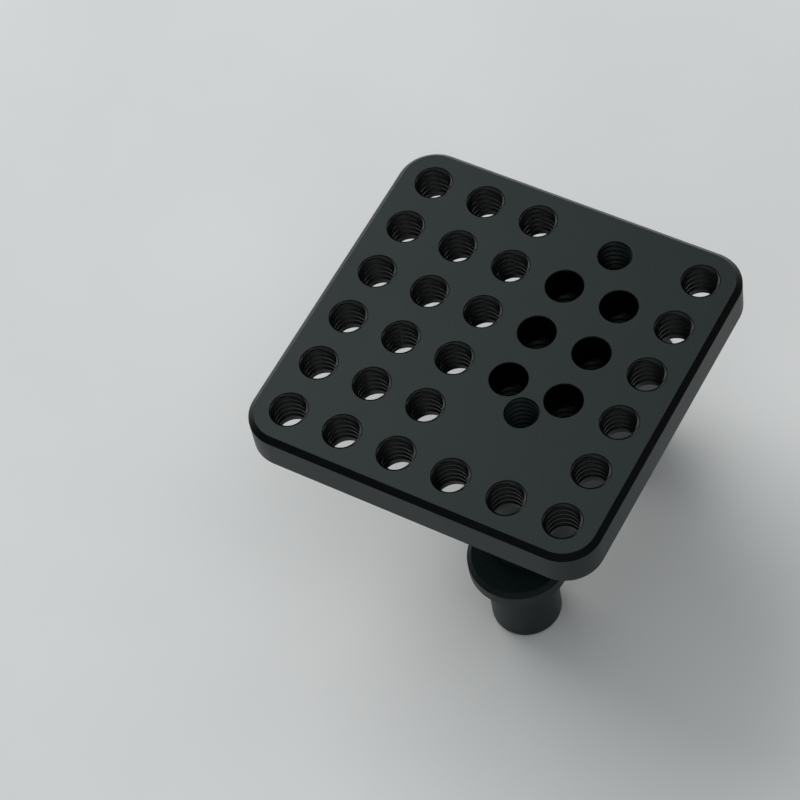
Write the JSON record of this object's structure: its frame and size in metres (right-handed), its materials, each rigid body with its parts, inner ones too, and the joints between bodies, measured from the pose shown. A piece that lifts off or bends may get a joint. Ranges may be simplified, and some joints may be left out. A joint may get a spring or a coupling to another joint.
{
  "type": "machined mounting block",
  "caption": "Square mounting plate with a grid of tapped holes, on a round-ended bar whose longer arm carries two hollow posts.",
  "frame": {"origin": "middle of the plate's front face, which is the middle of the hole grid", "axes": "+Z out of the plate's front face, +X towards the side of the plate that the bar is on, +Y along the bar, towards the end where the arm passes the plate's edge"},
  "size_m": [0.0636, 0.0658, 0.053],
  "materials": {
    "anodised_aluminium": "matte black anodised"
  },
  "bodies": {
    "root": {"mounting_block": "anodised_aluminium"}
  },
  "joints": []
}
